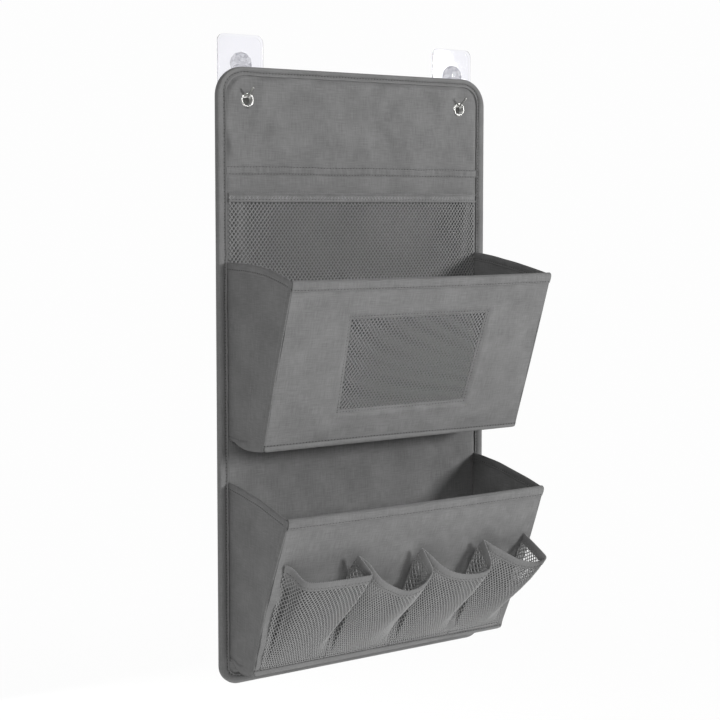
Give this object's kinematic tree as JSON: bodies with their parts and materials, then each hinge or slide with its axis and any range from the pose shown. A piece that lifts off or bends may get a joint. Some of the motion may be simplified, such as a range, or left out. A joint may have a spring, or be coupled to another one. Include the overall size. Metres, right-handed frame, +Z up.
{
  "type": "hanging wall organizer",
  "caption": "Hanging wall organizer: boarded grey cloth panel with a flat net pocket, two fold-flat box pockets and a row of small net pockets, hung from clear adhesive hooks.",
  "frame": {"origin": "on the wall, midway between the two adhesive hooks", "axes": "+Z up, +Y into the wall, +X to the viewer's right; the front faces -Y"},
  "size_m": [0.33, 0.1485, 0.6584],
  "materials": {
    "woven_cloth": "charcoal plain-woven cloth, matt",
    "lining_cloth": "dark grey non-woven lining, matt",
    "binding_tape": "charcoal woven tape, folded and stitched",
    "netting": "dark grey knitted net, open",
    "board": "pressed fibre board",
    "steel": "bright nickel plate",
    "clear_plastic": "clear moulded plastic",
    "foam_tape": "thin double-sided clear tape"
  },
  "bodies": {
    "wall_hooks": {"left_hook_adhesive_pad": "foam_tape", "left_hook_plate": "clear_plastic", "left_hook_boss": "clear_plastic", "left_hook_wire": "steel", "right_hook_adhesive_pad": "foam_tape", "right_hook_plate": "clear_plastic", "right_hook_boss": "clear_plastic", "right_hook_wire": "steel"},
    "organizer": {"header_face": "woven_cloth", "main_face": "woven_cloth", "header_board": "board", "main_board": "board", "back_lining": "lining_cloth", "header_seam_strip": "binding_tape", "edge_binding": "binding_tape", "left_grommet_eyelet": "steel", "left_grommet_washer": "steel", "right_grommet_eyelet": "steel", "right_grommet_washer": "steel", "flat_net_pocket": "netting", "flat_net_pocket_binding": "binding_tape", "upper_left_gusset": "woven_cloth", "upper_right_gusset": "woven_cloth", "lower_left_gusset": "woven_cloth", "lower_right_gusset": "woven_cloth"},
    "upper_floor_rear_half": {"upper_floor_rear_board": "board", "upper_floor_rear_cloth": "woven_cloth"},
    "upper_floor_front_half": {"upper_floor_front_board": "board", "upper_floor_front_cloth": "woven_cloth"},
    "upper_front": {"upper_front_face": "woven_cloth", "upper_front_board": "board", "upper_front_lining": "lining_cloth", "upper_front_hem": "binding_tape", "upper_front_welt": "binding_tape", "upper_window_net": "netting"},
    "lower_floor_rear_half": {"lower_floor_rear_board": "board", "lower_floor_rear_cloth": "woven_cloth"},
    "lower_floor_front_half": {"lower_floor_front_board": "board", "lower_floor_front_cloth": "woven_cloth"},
    "lower_front": {"lower_front_face": "woven_cloth", "lower_front_board": "board", "lower_front_lining": "lining_cloth", "lower_front_hem": "binding_tape", "lower_front_welt": "binding_tape", "small_net_pocket_1": "netting", "small_net_pocket_1_binding": "binding_tape", "small_net_pocket_2": "netting", "small_net_pocket_2_binding": "binding_tape", "small_net_pocket_3": "netting", "small_net_pocket_3_binding": "binding_tape", "small_net_pocket_4": "netting", "small_net_pocket_4_binding": "binding_tape"}
  },
  "joints": [
    {"name": "organizer_swing", "type": "hinge", "parent": "wall_hooks", "child": "organizer", "pos_m": [0, -0.0139, -0.03155], "axis": [-1, 0, 0], "range_deg": [0, 4]},
    {"name": "upper_floor_fold", "type": "hinge", "parent": "organizer", "child": "upper_floor_rear_half", "pos_m": [0, -0.0172, -0.37501], "axis": [-1, 0, 0], "range_deg": [0, 84], "deforming": ["upper_left_gusset", "upper_right_gusset"]},
    {"name": "upper_floor_crease", "type": "hinge", "parent": "upper_floor_rear_half", "child": "upper_floor_front_half", "pos_m": [0, -0.05141, -0.37831], "axis": [1, 0, 0], "range_deg": [0, 168]},
    {"name": "upper_front_fold", "type": "hinge", "parent": "upper_floor_front_half", "child": "upper_front", "pos_m": [0, -0.08563, -0.37501], "axis": [-1, 0, 0], "range_deg": [0, 103.4]},
    {"name": "lower_floor_fold", "type": "hinge", "parent": "organizer", "child": "lower_floor_rear_half", "pos_m": [0, -0.0163, -0.60151], "axis": [-1, 0, 0], "range_deg": [0, 84], "deforming": ["lower_left_gusset", "lower_right_gusset"]},
    {"name": "lower_floor_crease", "type": "hinge", "parent": "lower_floor_rear_half", "child": "lower_floor_front_half", "pos_m": [0, -0.03957, -0.60481], "axis": [1, 0, 0], "range_deg": [0, 168]},
    {"name": "lower_front_fold", "type": "hinge", "parent": "lower_floor_front_half", "child": "lower_front", "pos_m": [0, -0.06284, -0.60151], "axis": [-1, 0, 0], "range_deg": [0, 107.5]}
  ],
  "couplings": [
    {"joint": "upper_floor_crease", "follows": "upper_floor_fold", "ratio": 2},
    {"joint": "upper_front_fold", "follows": "upper_floor_fold", "ratio": 1.231},
    {"joint": "lower_floor_crease", "follows": "lower_floor_fold", "ratio": 2},
    {"joint": "lower_front_fold", "follows": "lower_floor_fold", "ratio": 1.2798}
  ]
}
